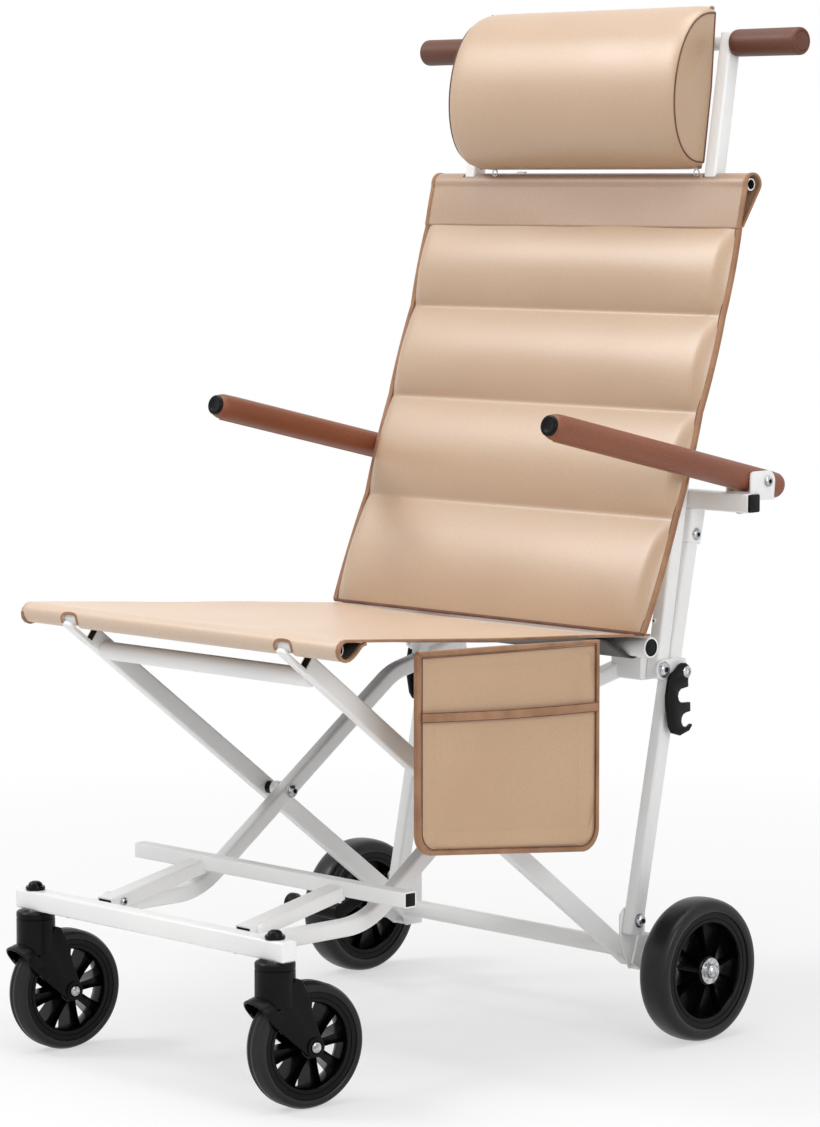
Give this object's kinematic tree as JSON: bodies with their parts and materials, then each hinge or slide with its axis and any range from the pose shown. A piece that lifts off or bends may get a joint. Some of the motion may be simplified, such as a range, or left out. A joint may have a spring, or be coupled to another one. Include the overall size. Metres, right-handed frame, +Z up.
{
  "type": "folding wheelchair",
  "caption": "Light folding transport wheelchair: side scissor frame, sling seat, high channelled back, headrest, flip-up armrests, footrest and swivel casters.",
  "frame": {"origin": "on the ground, at the middle of the outline in X and Y", "axes": "+Z up, the chair faces -Y, +X is the occupant's left"},
  "size_m": [0.5596, 0.7078, 1.0825],
  "materials": {
    "white_frame": "satin white powder coat",
    "bright_steel": "bright zinc-plated screws and pins",
    "black_plastic": "glossy black moulded plastic",
    "tyre_rubber": "dark grey solid tyre",
    "beige_leatherette": "soft coated fabric, satin",
    "brown_cover": "brown foam cover, matte"
  },
  "bodies": {
    "seat_frame": {"seat_tube_left": "white_frame", "seat_tube_right": "white_frame", "seat_front_rail": "white_frame", "front_cross_tube": "white_frame", "rear_cross_tube": "white_frame", "rear_bracket_left": "white_frame", "rear_bracket_right": "white_frame", "frame_hinge_bolt_left": "bright_steel", "frame_hinge_bolt_right": "bright_steel", "scissor_bolt_left": "bright_steel", "scissor_bolt_right": "bright_steel", "rear_axle_left": "bright_steel", "rear_axle_right": "bright_steel", "seat_sling": "beige_leatherette", "side_pocket": "beige_leatherette"},
    "rear_frame": {"rear_leg_left": "white_frame", "rear_leg_right": "white_frame", "upright_left": "white_frame", "upright_right": "white_frame", "catch_bolt_left": "bright_steel", "catch_bolt_right": "bright_steel", "handle_tube": "white_frame", "back_top_tube": "white_frame", "push_grip_left": "brown_cover", "push_grip_right": "brown_cover", "arm_support_left": "white_frame", "arm_support_right": "white_frame", "armrest_bolt_left": "bright_steel", "armrest_bolt_right": "bright_steel", "back_sling": "beige_leatherette", "headrest": "beige_leatherette"},
    "front_frame": {"scissor_tube_left": "white_frame", "scissor_tube_right": "white_frame", "front_beam": "white_frame", "rear_seat_tube": "white_frame", "caster_cap_left": "black_plastic", "caster_cap_right": "black_plastic", "footrest_bolt_left": "bright_steel", "footrest_bolt_right": "bright_steel"},
    "footrest": {"footrest_frame": "white_frame"},
    "brake_lever": {"parking_brake": "black_plastic"},
    "caster_left": {"caster_fork_left": "black_plastic", "caster_axle_left": "bright_steel"},
    "caster_wheel_left": {"caster_wheel_left_rim": "black_plastic", "caster_wheel_left_tyre": "tyre_rubber"},
    "rear_wheel_left": {"rear_wheel_left_rim": "black_plastic", "rear_wheel_left_tyre": "tyre_rubber"},
    "armrest_left": {"armrest_left_grip": "brown_cover", "armrest_cap_left": "black_plastic"},
    "catch_left": {"catch_plate_left": "black_plastic"},
    "caster_right": {"caster_fork_right": "black_plastic", "caster_axle_right": "bright_steel"},
    "caster_wheel_right": {"caster_wheel_right_rim": "black_plastic", "caster_wheel_right_tyre": "tyre_rubber"},
    "rear_wheel_right": {"rear_wheel_right_rim": "black_plastic", "rear_wheel_right_tyre": "tyre_rubber"},
    "armrest_right": {"armrest_right_grip": "brown_cover", "armrest_cap_right": "black_plastic"},
    "catch_right": {"catch_plate_right": "black_plastic"}
  },
  "joints": [
    {"name": "frame_fold", "type": "hinge", "parent": "seat_frame", "child": "rear_frame", "pos_m": [0, 0.1957, 0.119], "axis": [1, 0, 0], "range_deg": [0, 48], "deforming": ["seat_sling", "side_pocket", "back_sling"]},
    {"name": "scissor_fold", "type": "hinge", "parent": "seat_frame", "child": "front_frame", "pos_m": [0, -0.0208, 0.247], "axis": [1, 0, 0], "range_deg": [0, 85]},
    {"name": "footrest_flip", "type": "hinge", "parent": "front_frame", "child": "footrest", "pos_m": [0, -0.2778, 0.1635], "axis": [1, 0, 0], "range_deg": [0, 140]},
    {"name": "parking_brake_press", "type": "hinge", "parent": "seat_frame", "child": "brake_lever", "pos_m": [-0.192, 0.1582, 0.104], "axis": [1, 0, 0], "range_deg": [0, 13]},
    {"name": "caster_swivel_left", "type": "hinge", "parent": "front_frame", "child": "caster_left", "pos_m": [0.183, -0.3218, 0.16], "axis": [0, 0, 1], "continuous": true},
    {"name": "caster_roll_left", "type": "hinge", "parent": "caster_left", "child": "caster_wheel_left", "pos_m": [0.1881, -0.28768, 0.0625], "axis": [0.989, -0.1478, 0], "continuous": true},
    {"name": "rear_roll_left", "type": "hinge", "parent": "seat_frame", "child": "rear_wheel_left", "pos_m": [0.256, 0.2102, 0.0755], "axis": [1, 0, 0], "continuous": true},
    {"name": "armrest_flip_left", "type": "hinge", "parent": "rear_frame", "child": "armrest_left", "pos_m": [0.25, 0.3032, 0.583], "axis": [-1, 0, 0], "range_deg": [0, 76]},
    {"name": "catch_turn_left", "type": "hinge", "parent": "rear_frame", "child": "catch_left", "pos_m": [0.1955, 0.2562, 0.3795], "axis": [1, 0, 0], "range_deg": [0, 25]},
    {"name": "caster_swivel_right", "type": "hinge", "parent": "front_frame", "child": "caster_right", "pos_m": [-0.183, -0.3218, 0.16], "axis": [0, 0, 1], "continuous": true},
    {"name": "caster_roll_right", "type": "hinge", "parent": "caster_right", "child": "caster_wheel_right", "pos_m": [-0.17939, -0.28749, 0.0625], "axis": [0.9945, -0.1045, 0], "continuous": true},
    {"name": "rear_roll_right", "type": "hinge", "parent": "seat_frame", "child": "rear_wheel_right", "pos_m": [-0.256, 0.2102, 0.0755], "axis": [1, 0, 0], "continuous": true},
    {"name": "armrest_flip_right", "type": "hinge", "parent": "rear_frame", "child": "armrest_right", "pos_m": [-0.25, 0.3032, 0.583], "axis": [-1, 0, 0], "range_deg": [0, 76]},
    {"name": "catch_turn_right", "type": "hinge", "parent": "rear_frame", "child": "catch_right", "pos_m": [-0.1955, 0.2562, 0.3795], "axis": [1, 0, 0], "range_deg": [0, 25]}
  ],
  "couplings": [
    {"joint": "scissor_fold", "follows": "frame_fold", "ratio": 1.76}
  ]
}
